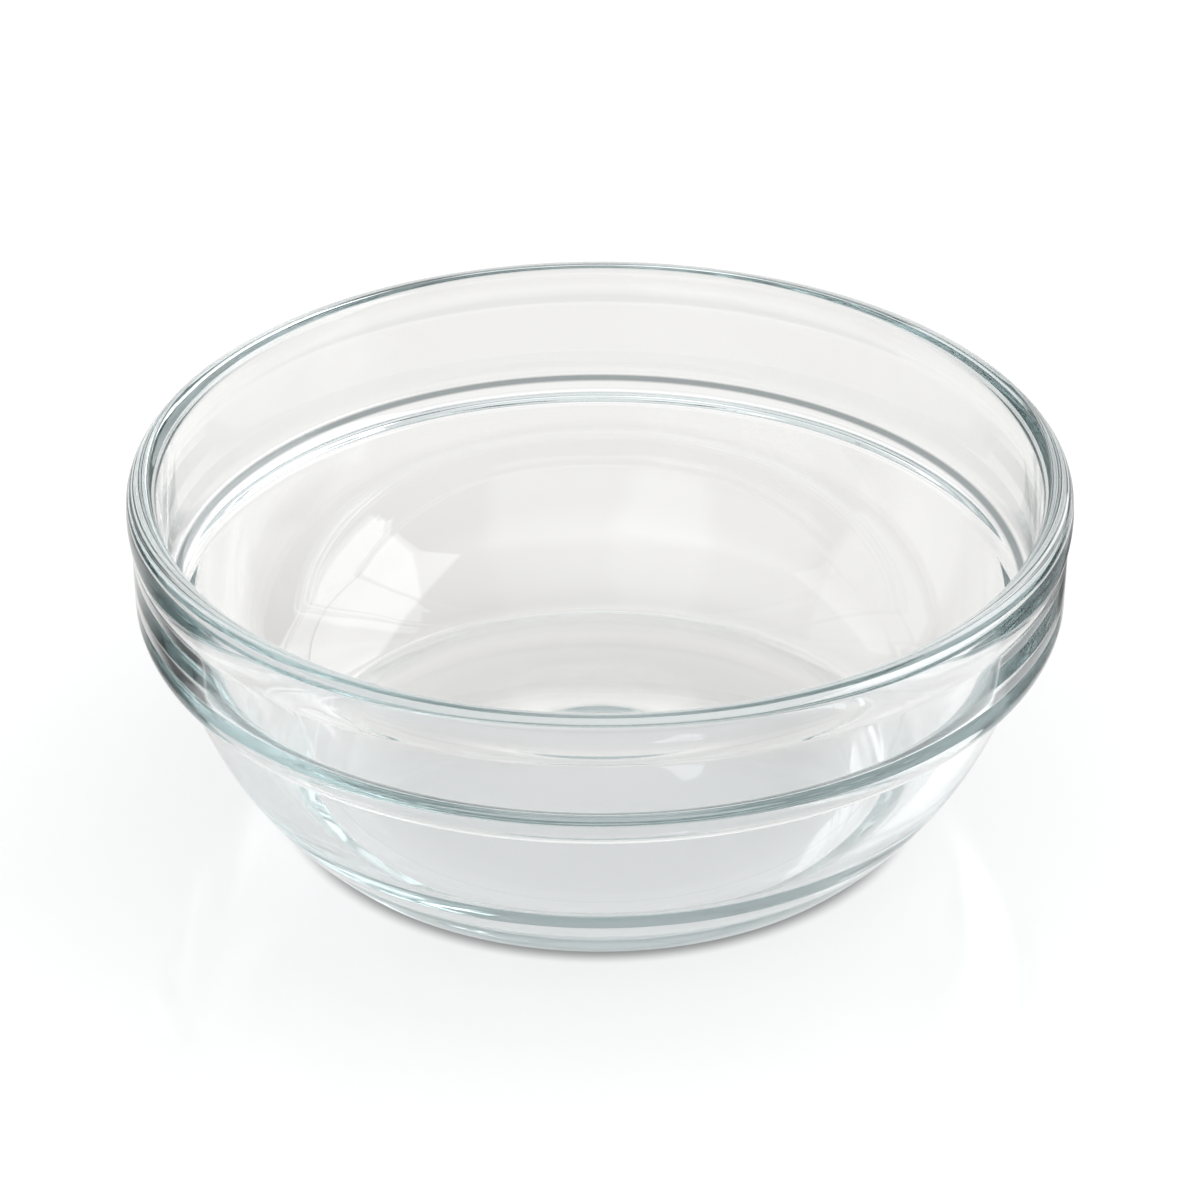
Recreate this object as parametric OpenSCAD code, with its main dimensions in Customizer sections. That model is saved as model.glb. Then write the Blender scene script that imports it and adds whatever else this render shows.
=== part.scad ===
// Round pressed-glass candy bowl that stacks on its own kind.
// Millimetres, +Z up, origin on the table at the middle of the foot.
// The bowl is one piece of glass: a single outline turned about the Z axis.

/* [Rim] */
// Outer diameter over the bead of the lip
rim_d = 105; // [99:1:114]
// Height from the table to the top of the lip
height = 40; // [38:0.5:46]
// Thickness of the rounded lip
lip_t = 3.3; // [3:0.1:3.7]
// Height of the bead, from the top of the lip to its lower edge
bead_h = 5.4; // [4.8:0.1:6.2]
// Depth of the bead's widest line below the top of the lip
bead_crest = 2.5; // [2.2:0.1:2.8]
// How far the bead stands out beyond the band under it
bead_out = 0.45; // [0.3:0.05:0.7]
// Radius of the soft hollow line where the bead meets the band
bead_cove = 3; // [1:0.5:4]

/* [Band and shoulder] */
// Depth of the stacking shoulder's underside below the top of the lip
shoulder_drop = 16.9; // [15.5:0.1:18]
// Radius of the shoulder's round edge
shoulder_round = 3.7; // [3.2:0.1:4.2]
// Radius of the groove where the shoulder meets the body
groove_round = 0.5; // [0.3:0.1:0.9]
// Lean of the band's outside, in degrees from upright
band_lean = 1.6; // [0.5:0.1:2.5]
// Lean of the band's inside, in degrees from upright
inner_lean = 5.6; // [5:0.1:6.5]
// Depth of the inside ledge below the top of the lip
ledge_drop = 13.15; // [12.8:0.05:13.8]
// Radius of the corner between the band and the ledge
ledge_corner = 0.3; // [0.2:0.1:0.8]
// Radius of the round that leads from the ledge to the inside wall
ledge_round = 3.5; // [2.8:0.1:4.2]

/* [Body and base] */
// Radius of the body's curve, seen from the side
body_curve = 42; // [38:1:54]
// Thickness of the glass in the body
wall = 3; // [2.6:0.1:3.3]
// Diameter of the foot at the table
foot_d = 70; // [62:1:74]
// Radius of the foot's outer edge
foot_round = 1; // [0.6:0.1:1.4]
// Thickness from the table to the floor of the bowl
base_t = 4; // [3.2:0.1:5.5]
// Radius of the curve between the floor and the inside wall
heel_curve = 14; // [10:1:17]
// Diameter of the hollow under the base
recess_d = 58; // [50:1:58]
// Depth of the hollow under the base at its middle
recess_depth = 1.2; // [0.6:0.1:1.6]

/* [Hidden] */
$fn = 240;
// How far a straight piece of the outline may stray from its true curve
curve_tolerance = 0.008;

rim_r = rim_d / 2;
lip_r = lip_t / 2;
inner_curve = body_curve - wall;
shoulder_z = height - shoulder_drop;
ledge_z = height - ledge_drop;

// Points are [distance from the axis, height above the table].

// The point that lies the given distance from a, on the way to b
function along(a, b, distance) = a + distance * (b - a) / norm(b - a);

// The point at height z, outside c, that lies the given distance from c
function outside(c, z, distance) = [c.x + sqrt(distance ^ 2 - (z - c.y) ^ 2), z];

// The centre of a curve of radius r from a up to b that bulges away from the axis
function curve_centre(a, b, r) =
    let (half = norm(b - a) / 2, way = (b - a) / norm(b - a))
    (a + b) / 2 + sqrt(r ^ 2 - half ^ 2) * [-way.y, way.x];

// Of the two points at distance p from a and q from b, the one to the right of the way from b to a
function meeting(a, p, b, q) =
    let (gap = norm(a - b), way = (a - b) / gap, reach = (gap ^ 2 + q ^ 2 - p ^ 2) / (2 * gap))
    b + reach * way + sqrt(q ^ 2 - reach ^ 2) * [way.y, -way.x];

// The centre of a round of radius r in the corner between a circle about c and a straight line.
// The line passes through p and leaves the circle in the direction way; side is its normal, towards the round.
function corner_centre(p, way, side, r, c, circle_r) =
    let (start = p + r * side, lag = (start - c) * way, off = norm(start - c - lag * way))
    start + (sqrt((circle_r + r) ^ 2 - off ^ 2) - lag) * way;

// Lip: a bead with a shallow outer curve, closed by a round top
bead_foot = [rim_r - bead_out, height - bead_h];
bead_rise = bead_h - bead_crest;
bead_curve = (bead_rise ^ 2 + bead_out ^ 2) / (2 * bead_out);
bead_c = [rim_r - bead_curve, height - bead_crest];
lip_c = outside(bead_c, height - lip_r, bead_curve - lip_r);
lip_outer = along(bead_c, lip_c, bead_curve);
inner_normal = [-cos(inner_lean), sin(inner_lean)];
lip_inner = lip_c + lip_r * inner_normal;

// Band and shoulder: a straight side that runs into a round edge, with a cove under the bead
band_normal = [cos(band_lean), -sin(band_lean)];
cove_c = corner_centre(bead_foot, [-sin(band_lean), -cos(band_lean)], band_normal, bead_cove, bead_c, bead_curve);
cove_side = cove_c - bead_cove * band_normal;
cove_bead = along(bead_c, cove_c, bead_curve);
shoulder_c_z = shoulder_z + shoulder_round;
shoulder_c = [
    bead_foot.x - (shoulder_round + (bead_foot.y - shoulder_c_z) * sin(band_lean)) / cos(band_lean),
    shoulder_c_z
];
band_foot = shoulder_c + shoulder_round * band_normal;

// Body: one curve from the foot to the shoulder, with a groove under the shoulder
body_c = curve_centre([foot_d / 2, 0], [shoulder_c.x, shoulder_z], body_curve);
foot_c = outside(body_c, foot_round, body_curve - foot_round);
foot_side = along(body_c, foot_c, body_curve);
foot_flat = [foot_c.x, 0];
groove_c = meeting(shoulder_c, shoulder_round + groove_round, body_c, body_curve + groove_round);
body_top = along(body_c, groove_c, body_curve);
shoulder_foot = along(shoulder_c, groove_c, shoulder_round);

// Ledge: a crease at the foot of the band, with a large round from it down to the inside wall
crease = [lip_inner.x - (lip_inner.y - ledge_z) * tan(inner_lean), ledge_z];
edge_c = meeting(crease, ledge_round, body_c, inner_curve + ledge_round);
edge_side = along(body_c, edge_c, inner_curve);
corner_c = corner_centre(crease, [sin(inner_lean), cos(inner_lean)], inner_normal, ledge_corner, edge_c, ledge_round);
corner_side = corner_c - ledge_corner * inner_normal;
corner_edge = along(edge_c, corner_c, ledge_round);

// Floor and hollow: a flat floor with a curved heel, over a shallow hollow without an edge
heel_c = outside(body_c, base_t + heel_curve, inner_curve - heel_curve);
heel_side = along(body_c, heel_c, inner_curve);
heel_flat = [heel_c.x, base_t];
recess_steps = 24;
recess = [
    for (i = [0:recess_steps])
        [recess_d / 2 * i / recess_steps, recess_depth * (1 + cos(180 * i / recess_steps)) / 2]
];

// Points along the curve about centre from a to b, by the shorter way round
function arc(centre, a, b) =
    let (
        radius = norm(a - centre),
        first = atan2(a.y - centre.y, a.x - centre.x),
        last = atan2(b.y - centre.y, b.x - centre.x),
        sweep = (last - first + 540) % 360 - 180,
        count = ceil(abs(sweep) / (2 * acos(1 - curve_tolerance / radius)))
    )
    [for (i = [0:count]) centre + radius * [cos(first + sweep * i / count), sin(first + sweep * i / count)]];

// The outline of the glass, from the hollow round the outside and back to the floor
outline = [
    each recess,
    each arc(foot_c, foot_flat, foot_side),
    each arc(body_c, foot_side, body_top),
    each arc(groove_c, body_top, shoulder_foot),
    each arc(shoulder_c, shoulder_foot, band_foot),
    each arc(cove_c, cove_side, cove_bead),
    each arc(bead_c, cove_bead, lip_outer),
    each arc(lip_c, lip_outer, lip_inner),
    each arc(corner_c, corner_side, corner_edge),
    each arc(edge_c, corner_edge, edge_side),
    each arc(body_c, edge_side, heel_side),
    each arc(heel_c, heel_side, heel_flat),
    [0, base_t]
];

module bowl() {
    color([0.87, 0.92, 0.91, 0.4]) rotate_extrude() polygon(outline);
}

bowl();
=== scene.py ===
"""The candy bowl: one piece of clear pressed glass, on a white table in soft studio light."""
from math import acos, atan2, cos, pi, radians, sin, sqrt

import bpy
import numpy as np
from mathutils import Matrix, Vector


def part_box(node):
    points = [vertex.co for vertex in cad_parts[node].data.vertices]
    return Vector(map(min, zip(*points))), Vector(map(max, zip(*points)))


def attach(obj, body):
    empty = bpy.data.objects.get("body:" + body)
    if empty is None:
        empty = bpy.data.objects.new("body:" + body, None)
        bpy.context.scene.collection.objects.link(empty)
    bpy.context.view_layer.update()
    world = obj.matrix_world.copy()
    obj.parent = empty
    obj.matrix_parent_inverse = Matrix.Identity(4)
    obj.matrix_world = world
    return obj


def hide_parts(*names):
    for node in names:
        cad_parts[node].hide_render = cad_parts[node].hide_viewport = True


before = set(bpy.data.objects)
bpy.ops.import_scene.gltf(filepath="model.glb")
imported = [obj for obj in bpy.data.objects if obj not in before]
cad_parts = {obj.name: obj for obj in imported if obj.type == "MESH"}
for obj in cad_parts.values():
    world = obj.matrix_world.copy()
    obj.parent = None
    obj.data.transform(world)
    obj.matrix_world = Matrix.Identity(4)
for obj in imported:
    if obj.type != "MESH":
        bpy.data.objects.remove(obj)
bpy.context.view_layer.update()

MM = 0.001
WHITE = (1.0, 1.0, 1.0, 1.0)
BLACK = (0.0, 0.0, 0.0, 1.0)
ALONG_X = (1.0, 0.0, 0.0)
ALONG_Y = (0.0, 1.0, 0.0)
ALONG_Z = (0.0, 0.0, 1.0)

# Sizes of the glass in millimetres: the rim and the height come from the frame
rim_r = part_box("bowl")[1][0] / MM
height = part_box("bowl")[1][2] / MM
lip_r = 1.65
bead_h = 5.4
bead_crest = 2.5
bead_out = 0.45
bead_cove = 3.0
shoulder_drop = 16.9
shoulder_round = 3.7
groove_round = 0.5
band_lean = radians(1.6)
inner_lean = radians(5.6)
ledge_drop = 13.15
ledge_corner = 0.3
ledge_round = 3.5
body_curve = 42.0
wall = 3.0
foot_r = 35.0
foot_round = 1.0
base_t = 4.0
heel_curve = 14.0
recess_r = 29.0
recess_depth = 1.2
dimple_r = 12.6
dimple_depth = 0.45

# The surface grid
TURNS = 240
CURVE_TOLERANCE = 0.001
STRAIGHT_STEP = 0.6
RECESS_STEPS = 48

# The glass: its depth of colour, how it bends light, its slight waves in metres and its worn polish
GLASS_DEPTH = (0.7, 0.76, 0.762, 1.0)
GLASS_DENSITY = 35.0
GLASS_IOR = 1.52
WAVE_SCALE = 70.0
WAVE_HEIGHT = 0.00006
WEAR_SCALE = 160.0
WEAR_SPREAD = (0.5, 0.8)
WEAR_ROUGHNESS = 0.025

# Painted shade: the dark line that the ledge shows by refraction is painted into the glass colour as a thin
# ring.
# The painted dark ring along the inside ledge: its place in millimetres, and how far off it ends and is full
LEDGE_SHADE_R = 47.28
LEDGE_SHADE_Z = 26.61
LEDGE_SHADE_EDGE = (0.672, 0.252)
LEDGE_SHADE_TONE = (0.14, 0.17, 0.175, 1.0)

# The table: its half width in metres, and the air under the foot, which lets light in below the glass
TABLE_HALF = 1.2
TABLE_GAP = 0.0002
TABLE_ROUGHNESS = 0.12
TABLE_IOR = 1.8

# The table's own glow and its matt grey, for the camera and for what is seen in or through the glass
TABLE_GLOW = 0.65
TABLE_GLOW_GLASS = 0.45
TABLE_GREY = 0.22
TABLE_GREY_GLASS = 0.335
TABLE_WARM = (1.0, 0.958, 0.922, 1.0)
TABLE_COOL = (0.98, 0.982, 0.985, 1.0)

# Light and dark places on the table. Each pair gives the distances in metres where a change begins and ends:
# a reach from the Z axis, or a way back along +Y.
WARM_BACK = (-0.006, 0.01)

# The camera sees the table dark under the foot, and a little lighter as the bowl's soft shadow ends
CONTACT_REACH = (0.0345, 0.0372)
CONTACT_GLOW = 0.14
SHADOW_REACH = (0.036, 0.1)
SHADOW_LIFT = 0.16

# The glass shows light gathered under the base, a pool of it, a ring at the foot and a dim zone far out
BASE_REACH = (0.034, 0.026)
BASE_BACK = (-0.004, 0.008)
BASE_GLOW = 0.02
POOL_REACH = (0.0205, 0.0145)
POOL_BACK = (0.002, 0.014)
POOL_GLOW = 0.22
RING_INSIDE = (0.022, 0.033)
RING_OUTSIDE = (0.038, 0.0345)
RING_GLOW = 0.11
FAR_INSIDE = (0.122, 0.134)
FAR_OUTSIDE = (0.2, 0.15)
FAR_DIM = 0.2

# Painted dark reflections: beside the bowl, just out of the picture, the table is painted dark only where
# the glass
# mirrors it: a path straight through walls meets an even count of surfaces, and a mirrored one an odd count.
DARK_REFLECTION_REACH = (0.07, 0.08)
DARK_REFLECTION_SLANT = 0.3
DARK_REFLECTION_FRONT = (-0.008, -0.002)
DARK_REFLECTION_BACK = {-1.0: (0.045, 0.012), 1.0: (0.075, 0.045)}
DARK_REFLECTION_DEPTH = 0.94

# The sky: its least light, the heights on a unit sphere between which it brightens, and what it gains there
SKY_TINT = (0.98, 0.992, 1.0, 1.0)
SKY_LOW = 0.04
SKY_RISE = (0.4, 0.65)
SKY_GAIN = 0.94

# Soft lamp panels: azimuth and elevation in degrees, half width, half height, soft edge and strength
LAMPS = (
    (72.0, 34.0, 0.85, 0.42, 0.04, 2.6),
    (-80.0, 22.0, 0.38, 0.34, 0.05, 1.0),
    (180.0, 32.0, 0.5, 0.25, 0.2, 0.6),
    (0.0, 8.0, 0.8, 0.3, 0.2, 0.8),
    (-140.0, 30.0, 0.45, 0.16, 0.2, 0.6),
)
LAMP_AHEAD = (0.0, 0.05)

# The camera, as the photograph was framed: places in metres, the lens and the sensor in millimetres
CAMERA_TILT = radians(30.64)
CAMERA_DISTANCE = 0.735
CAMERA_CENTRE = 0.0223
CAMERA_AIM = 0.0240
CAMERA_LENS = 196.7
CAMERA_SENSOR = 36.0
CAMERA_NEAR = 0.01

# How often light may bounce, because it crosses the glass many times before it leaves
BOUNCES = 32


class Value:
    """A shader socket that takes part in Python expressions."""

    def __init__(self, tree, socket):
        self.tree = tree
        self.socket = socket

    def math(self, operation, *values):
        return node(self.tree, "ShaderNodeMath", {"operation": operation}, dict(enumerate(values)))

    def __add__(self, other):
        return self.math("ADD", self, other)

    def __radd__(self, other):
        return self.math("ADD", other, self)

    def __sub__(self, other):
        return self.math("SUBTRACT", self, other)

    def __rsub__(self, other):
        return self.math("SUBTRACT", other, self)

    def __mul__(self, other):
        return self.math("MULTIPLY", self, other)

    def __rmul__(self, other):
        return self.math("MULTIPLY", other, self)

    def __truediv__(self, other):
        return self.math("DIVIDE", self, other)

    def __mod__(self, other):
        return self.math("MODULO", self, other)

    def __abs__(self):
        return self.math("ABSOLUTE", self)

    def root(self):
        return self.math("SQRT", self)

    def larger(self, other):
        return self.math("MAXIMUM", self, other)

    def dot(self, vector):
        """The dot product of this vector with a constant one."""
        settings = {"operation": "DOT_PRODUCT"}
        return node(self.tree, "ShaderNodeVectorMath", settings, {0: self, 1: vector}, "Value")

    def ramp(self, low, high):
        """A smooth step from 0 where this value is low to 1 where it is high."""
        settings = {"interpolation_type": "SMOOTHSTEP"}
        ends = {"Value": self, "From Min": low, "From Max": high}
        return node(self.tree, "ShaderNodeMapRange", settings, ends)


def node(tree, kind, settings=None, inputs=None, output=0):
    """Add one node, set it up, feed its sockets with values or links, and wrap one output."""
    made = tree.nodes.new(kind)
    for name, value in (settings or {}).items():
        setattr(made, name, value)
    for name, value in (inputs or {}).items():
        if isinstance(value, Value):
            tree.links.new(value.socket, made.inputs[name])
        else:
            made.inputs[name].default_value = value
    return Value(tree, made.outputs[output]) if len(made.outputs) else made


def mix(tree, share, first, second):
    """A blend of two colours, by a Mix node's colour sockets: inputs 6 and 7, and output 2."""
    return node(tree, "ShaderNodeMix", {"data_type": "RGBA"}, {"Factor": share, 6: first, 7: second}, 2)


def empty_tree(owner):
    """The node tree of a material or world, with nothing in it."""
    owner.use_nodes = True
    owner.node_tree.nodes.clear()
    return owner.node_tree


def length(across, up):
    """The length of a line that goes so far across and so far up."""
    return (across * across + up * up).root()


def along(a, b, distance):
    """The point that lies the given distance from a, on the way to b."""
    return a + distance * (b - a) / np.hypot(*(b - a))


def outside(c, z, distance):
    """The point at height z, outside c, that lies the given distance from c."""
    return np.array([c[0] + sqrt(distance ** 2 - (z - c[1]) ** 2), z])


def curve_centre(a, b, r):
    """The centre of a curve of radius r from a up to b that bulges away from the axis."""
    half = np.hypot(*(b - a)) / 2
    way = (b - a) / (2 * half)
    return (a + b) / 2 + sqrt(r ** 2 - half ** 2) * np.array([-way[1], way[0]])


def meeting(a, p, b, q):
    """Of the points at distance p from a and q from b, the one to the right of the way from b to a."""
    gap = np.hypot(*(a - b))
    way = (a - b) / gap
    reach = (gap ** 2 + q ** 2 - p ** 2) / (2 * gap)
    return b + reach * way + sqrt(q ** 2 - reach ** 2) * np.array([way[1], -way[0]])


def corner_centre(p, way, side, r, c, circle_r):
    """The centre of a round in the corner between a circle about c and a line that leaves it along way."""
    start = p + r * side
    lag = np.dot(start - c, way)
    off = np.hypot(*(start - c - lag * way))
    return start + (sqrt((circle_r + r) ** 2 - off ** 2) - lag) * way


def arc(centre, a, b):
    """Points along the circle about centre from a to b, by the shorter way round."""
    radius = np.hypot(*(a - centre))
    first = atan2(*(a - centre)[::-1])
    last = atan2(*(b - centre)[::-1])
    sweep = (last - first + 3 * pi) % (2 * pi) - pi
    count = int(np.ceil(abs(sweep) / (2 * acos(1 - CURVE_TOLERANCE / radius)))) + 1
    turn = first + sweep * np.linspace(0, 1, count)
    return centre + radius * np.stack([np.cos(turn), np.sin(turn)], axis=1)


def straight(a, b):
    """Points along the straight line from a to b, short of both ends."""
    count = int(np.ceil(np.hypot(*(b - a)) / STRAIGHT_STEP))
    share = np.linspace(0, 1, count + 1)[1:-1, None]
    return a + share * (b - a)


def base_hollow():
    """The base's hollow: half a cosine wave from its middle to its edge, plus a low dome, the dimple."""
    share = np.linspace(0, 1, RECESS_STEPS + 1)[:, None]
    reach = recess_r * share
    dimple = dimple_depth * np.maximum(0.0, 1 - (reach / dimple_r) ** 2)
    return np.concatenate([reach, recess_depth * (1 + np.cos(pi * share)) / 2 + dimple], axis=1)


def bowl_outline():
    """The outline of the glass as points (radius, height): circles that touch, joined by straight lines."""
    bead_foot = np.array([rim_r - bead_out, height - bead_h])
    bead_rise = bead_h - bead_crest
    bead_curve = (bead_rise ** 2 + bead_out ** 2) / (2 * bead_out)
    bead_c = np.array([rim_r - bead_curve, height - bead_crest])
    lip_c = outside(bead_c, height - lip_r, bead_curve - lip_r)
    lip_outer = along(bead_c, lip_c, bead_curve)
    inner_normal = np.array([-cos(inner_lean), sin(inner_lean)])
    lip_inner = lip_c + lip_r * inner_normal

    band_normal = np.array([cos(band_lean), -sin(band_lean)])
    band_way = np.array([-sin(band_lean), -cos(band_lean)])
    cove_c = corner_centre(bead_foot, band_way, band_normal, bead_cove, bead_c, bead_curve)
    cove_side = cove_c - bead_cove * band_normal
    cove_bead = along(bead_c, cove_c, bead_curve)
    shoulder_z = height - shoulder_drop
    shoulder_c_z = shoulder_z + shoulder_round
    band_slip = (bead_foot[1] - shoulder_c_z) * sin(band_lean)
    shoulder_c = np.array([bead_foot[0] - (shoulder_round + band_slip) / cos(band_lean), shoulder_c_z])
    band_foot = shoulder_c + shoulder_round * band_normal

    body_c = curve_centre(np.array([foot_r, 0.0]), np.array([shoulder_c[0], shoulder_z]), body_curve)
    foot_c = outside(body_c, foot_round, body_curve - foot_round)
    foot_side = along(body_c, foot_c, body_curve)
    foot_flat = np.array([foot_c[0], 0.0])
    groove_c = meeting(shoulder_c, shoulder_round + groove_round, body_c, body_curve + groove_round)
    body_top = along(body_c, groove_c, body_curve)
    shoulder_foot = along(shoulder_c, groove_c, shoulder_round)

    inner_curve = body_curve - wall
    ledge_z = height - ledge_drop
    wall_way = np.array([sin(inner_lean), cos(inner_lean)])
    crease = lip_inner - (lip_inner[1] - ledge_z) / cos(inner_lean) * wall_way
    edge_c = meeting(crease, ledge_round, body_c, inner_curve + ledge_round)
    edge_side = along(body_c, edge_c, inner_curve)
    corner_c = corner_centre(crease, wall_way, inner_normal, ledge_corner, edge_c, ledge_round)
    corner_side = corner_c - ledge_corner * inner_normal
    corner_edge = along(edge_c, corner_c, ledge_round)

    heel_c = outside(body_c, base_t + heel_curve, inner_curve - heel_curve)
    heel_side = along(body_c, heel_c, inner_curve)
    heel_flat = np.array([heel_c[0], base_t])
    floor_middle = np.array([0.0, base_t])
    recess = base_hollow()

    stretches = [
        recess,
        straight(recess[-1], foot_flat),
        arc(foot_c, foot_flat, foot_side),
        arc(body_c, foot_side, body_top)[1:],
        arc(groove_c, body_top, shoulder_foot)[1:],
        arc(shoulder_c, shoulder_foot, band_foot)[1:],
        straight(band_foot, cove_side),
        arc(cove_c, cove_side, cove_bead),
        arc(bead_c, cove_bead, lip_outer)[1:],
        arc(lip_c, lip_outer, lip_inner)[1:],
        straight(lip_inner, corner_side),
        arc(corner_c, corner_side, corner_edge),
        arc(edge_c, corner_edge, edge_side)[1:],
        arc(body_c, edge_side, heel_side)[1:],
        arc(heel_c, heel_side, heel_flat)[1:],
        straight(heel_flat, floor_middle),
        floor_middle[None],
    ]
    return np.concatenate(stretches)


def turned_mesh(name, outline, turns):
    """A closed surface: the outline, which starts and ends on the Z axis, turned about that axis."""
    rings = outline[1:-1] * MM
    angle = np.arange(turns) * (2 * pi / turns)
    grid = np.empty((len(rings), turns, 3))
    grid[:, :, 0] = rings[:, :1] * np.cos(angle)
    grid[:, :, 1] = rings[:, :1] * np.sin(angle)
    grid[:, :, 2] = rings[:, 1:]
    poles = [[0, 0, outline[0, 1] * MM], [0, 0, outline[-1, 1] * MM]]
    points = np.concatenate([grid.reshape(-1, 3), poles])

    place = np.arange(len(rings) * turns).reshape(len(rings), turns)
    beside = np.roll(place, -1, axis=1)
    quads = np.stack([place[:-1], beside[:-1], beside[1:], place[1:]], axis=-1).reshape(-1, 4)
    under, over = len(points) - 2, len(points) - 1
    under_fan = np.stack([beside[0], place[0], np.full(turns, under)], axis=-1)
    over_fan = np.stack([place[-1], beside[-1], np.full(turns, over)], axis=-1)
    mesh = bpy.data.meshes.new(name)
    mesh.from_pydata(points.tolist(), [], quads.tolist() + under_fan.tolist() + over_fan.tolist())
    mesh.shade_smooth()
    return mesh


def clear_glass():
    """Clear pressed glass with a faint blue-green depth of colour, and a painted dark ring of shade along
    its inside ledge.
    """
    material = bpy.data.materials.new("clear_glass")
    tree = empty_tree(material)
    spot = node(tree, "ShaderNodeTexCoord", None, None, "Object")
    # Painted shade: the glass colour darkens to a thin dark ring along the inside ledge
    reach = length(spot.dot(ALONG_X), spot.dot(ALONG_Y))
    off = length(reach - LEDGE_SHADE_R * MM, spot.dot(ALONG_Z) - LEDGE_SHADE_Z * MM)
    line = off.ramp(*(edge * MM for edge in LEDGE_SHADE_EDGE))
    swell = node(tree, "ShaderNodeTexNoise", None, {"Vector": spot, "Scale": WAVE_SCALE, "Detail": 1.0})
    wear = node(tree, "ShaderNodeTexNoise", None, {"Vector": spot, "Scale": WEAR_SCALE, "Detail": 3.0})
    waves = {"Height": swell, "Strength": 1.0, "Distance": WAVE_HEIGHT}
    glass = node(tree, "ShaderNodeBsdfPrincipled", None, {
        "Base Color": mix(tree, line, WHITE, LEDGE_SHADE_TONE),
        "Roughness": wear.ramp(*WEAR_SPREAD) * WEAR_ROUGHNESS,
        "Normal": node(tree, "ShaderNodeBump", None, waves, "Normal"),
        "IOR": GLASS_IOR,
        "Transmission Weight": 1.0,
    })
    depth = node(tree, "ShaderNodeVolumeAbsorption", None, {"Color": GLASS_DEPTH, "Density": GLASS_DENSITY})
    node(tree, "ShaderNodeOutputMaterial", None, {"Surface": glass, "Volume": depth})
    return material


def white_table():
    """A white table: matt, so that it takes the bowl's shadow, with a glow that makes up its white."""
    material = bpy.data.materials.new("white_table")
    tree = empty_tree(material)
    camera, mirrored, refracted, surfaces = (
        node(tree, "ShaderNodeLightPath", None, None, kind)
        for kind in ("Is Camera Ray", "Is Glossy Ray", "Is Transmission Ray", "Ray Depth")
    )
    glass = mirrored.larger(refracted)
    spot = node(tree, "ShaderNodeTexCoord", None, None, "Object")
    x, y = spot.dot(ALONG_X), spot.dot(ALONG_Y)
    reach = length(x, y)

    # Painted dark reflection: the table darkens beside the bowl, but only in paths that the glass mirrors
    dark_reflection = 0.0
    for side, back in DARK_REFLECTION_BACK.items():
        aside = x * side + y * DARK_REFLECTION_SLANT
        dark_reflection = aside.ramp(*DARK_REFLECTION_REACH) * y.ramp(*DARK_REFLECTION_FRONT) * y.ramp(*back) + dark_reflection
    odd = surfaces % 2.0
    lit = 1.0 - dark_reflection * glass * odd * DARK_REFLECTION_DEPTH

    pool = reach.ramp(*POOL_REACH) * y.ramp(*POOL_BACK) * POOL_GLOW
    gathered = (reach.ramp(*BASE_REACH) * BASE_GLOW + pool) * y.ramp(*BASE_BACK)
    ring = reach.ramp(*RING_INSIDE) * reach.ramp(*RING_OUTSIDE) * RING_GLOW
    far = reach.ramp(*FAR_INSIDE) * reach.ramp(*FAR_OUTSIDE) * FAR_DIM
    glow_glass = (gathered + ring + TABLE_GLOW_GLASS) * (1.0 - far)
    contact = reach.ramp(*CONTACT_REACH) * (1.0 - CONTACT_GLOW) + CONTACT_GLOW
    glow_camera = (contact + reach.ramp(*SHADOW_REACH) * SHADOW_LIFT) * TABLE_GLOW

    grey = (camera * (TABLE_GREY - TABLE_GREY_GLASS) + TABLE_GREY_GLASS) * lit
    glow = (camera * glow_camera + glass * glow_glass) * lit
    tint = mix(tree, y.ramp(*WARM_BACK), TABLE_COOL, TABLE_WARM)
    tint = mix(tree, camera, tint, WHITE)
    surface = node(tree, "ShaderNodeBsdfPrincipled", None, {
        "Base Color": mix(tree, grey, BLACK, WHITE),
        "Roughness": TABLE_ROUGHNESS,
        "IOR": TABLE_IOR,
        "Emission Color": mix(tree, glow, BLACK, tint),
        "Emission Strength": 1.0,
    })
    node(tree, "ShaderNodeOutputMaterial", None, {"Surface": surface})
    return material


def add(mesh, material):
    piece = bpy.data.objects.new(mesh.name, mesh)
    bpy.context.scene.collection.objects.link(piece)
    mesh.materials.append(material)
    return piece


def make_bowl():
    piece = add(turned_mesh("glass_bowl", bowl_outline(), TURNS), clear_glass())
    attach(piece, "root")
    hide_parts("bowl")


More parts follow.
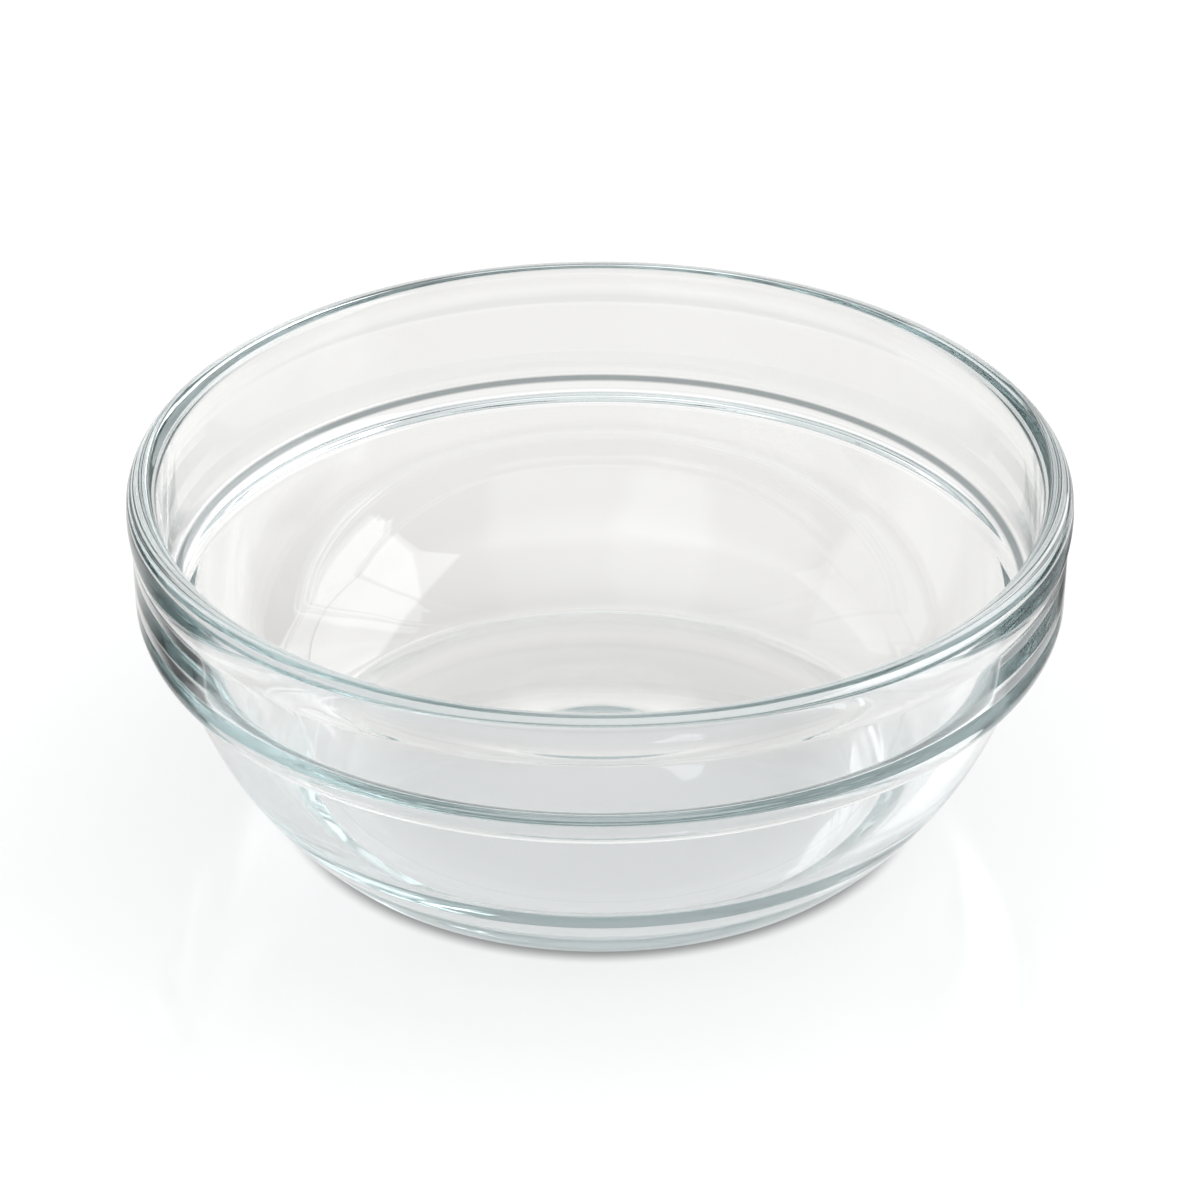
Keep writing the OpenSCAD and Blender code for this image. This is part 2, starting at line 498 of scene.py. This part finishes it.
def make_table():
    half, low = TABLE_HALF, -TABLE_GAP
    corners = [(-half, -half, low), (half, -half, low), (half, half, low), (-half, half, low)]
    mesh = bpy.data.meshes.new("table")
    mesh.from_pydata(corners, [], [(0, 1, 2, 3)])
    add(mesh, white_table())


def make_camera():
    camera = bpy.data.cameras.new("camera")
    camera.lens = CAMERA_LENS
    camera.sensor_width = CAMERA_SENSOR
    camera.clip_start = CAMERA_NEAR
    placed = bpy.data.objects.new("camera", camera)
    bpy.context.scene.collection.objects.link(placed)
    away = CAMERA_DISTANCE * cos(CAMERA_TILT)
    up = CAMERA_CENTRE + CAMERA_DISTANCE * sin(CAMERA_TILT)
    placed.location = (0, -away, up)
    placed.rotation_euler = (pi / 2 - atan2(up - CAMERA_AIM, away), 0, 0)
    bpy.context.scene.camera = placed


def panel(way, azimuth, elevation, half_width, half_height, edge):
    """How much of a soft-edged lamp panel lies in a direction: 1 inside, 0 outside."""
    turn, rise = radians(azimuth), radians(elevation)
    ahead = way.dot((cos(rise) * sin(turn), cos(rise) * cos(turn), sin(rise)))
    across = abs(way.dot((cos(turn), -sin(turn), 0.0)) / ahead)
    upward = abs(way.dot((-sin(rise) * sin(turn), -sin(rise) * cos(turn), cos(rise))) / ahead)
    inside = across.ramp(half_width + edge, half_width) * upward.ramp(half_height + edge, half_height)
    return inside * ahead.ramp(*LAMP_AHEAD)


def make_light():
    """A plain sky that brightens with height, with soft lamp panels in it."""
    world = bpy.data.worlds.new("studio")
    bpy.context.scene.world = world
    tree = empty_tree(world)
    way = node(tree, "ShaderNodeTexCoord", None, None, "Generated")
    light = SKY_LOW + way.dot(ALONG_Z).ramp(*SKY_RISE) * SKY_GAIN
    for *place, strength in LAMPS:
        light = light + panel(way, *place) * strength
    sky = node(tree, "ShaderNodeBackground", None, {"Color": SKY_TINT, "Strength": light})
    node(tree, "ShaderNodeOutputWorld", None, {"Surface": sky})


make_bowl()
make_table()
make_camera()
make_light()
scene = bpy.context.scene
scene.view_settings.view_transform = "Standard"
scene.cycles.max_bounces = BOUNCES
scene.cycles.transmission_bounces = BOUNCES
scene.cycles.glossy_bounces = BOUNCES
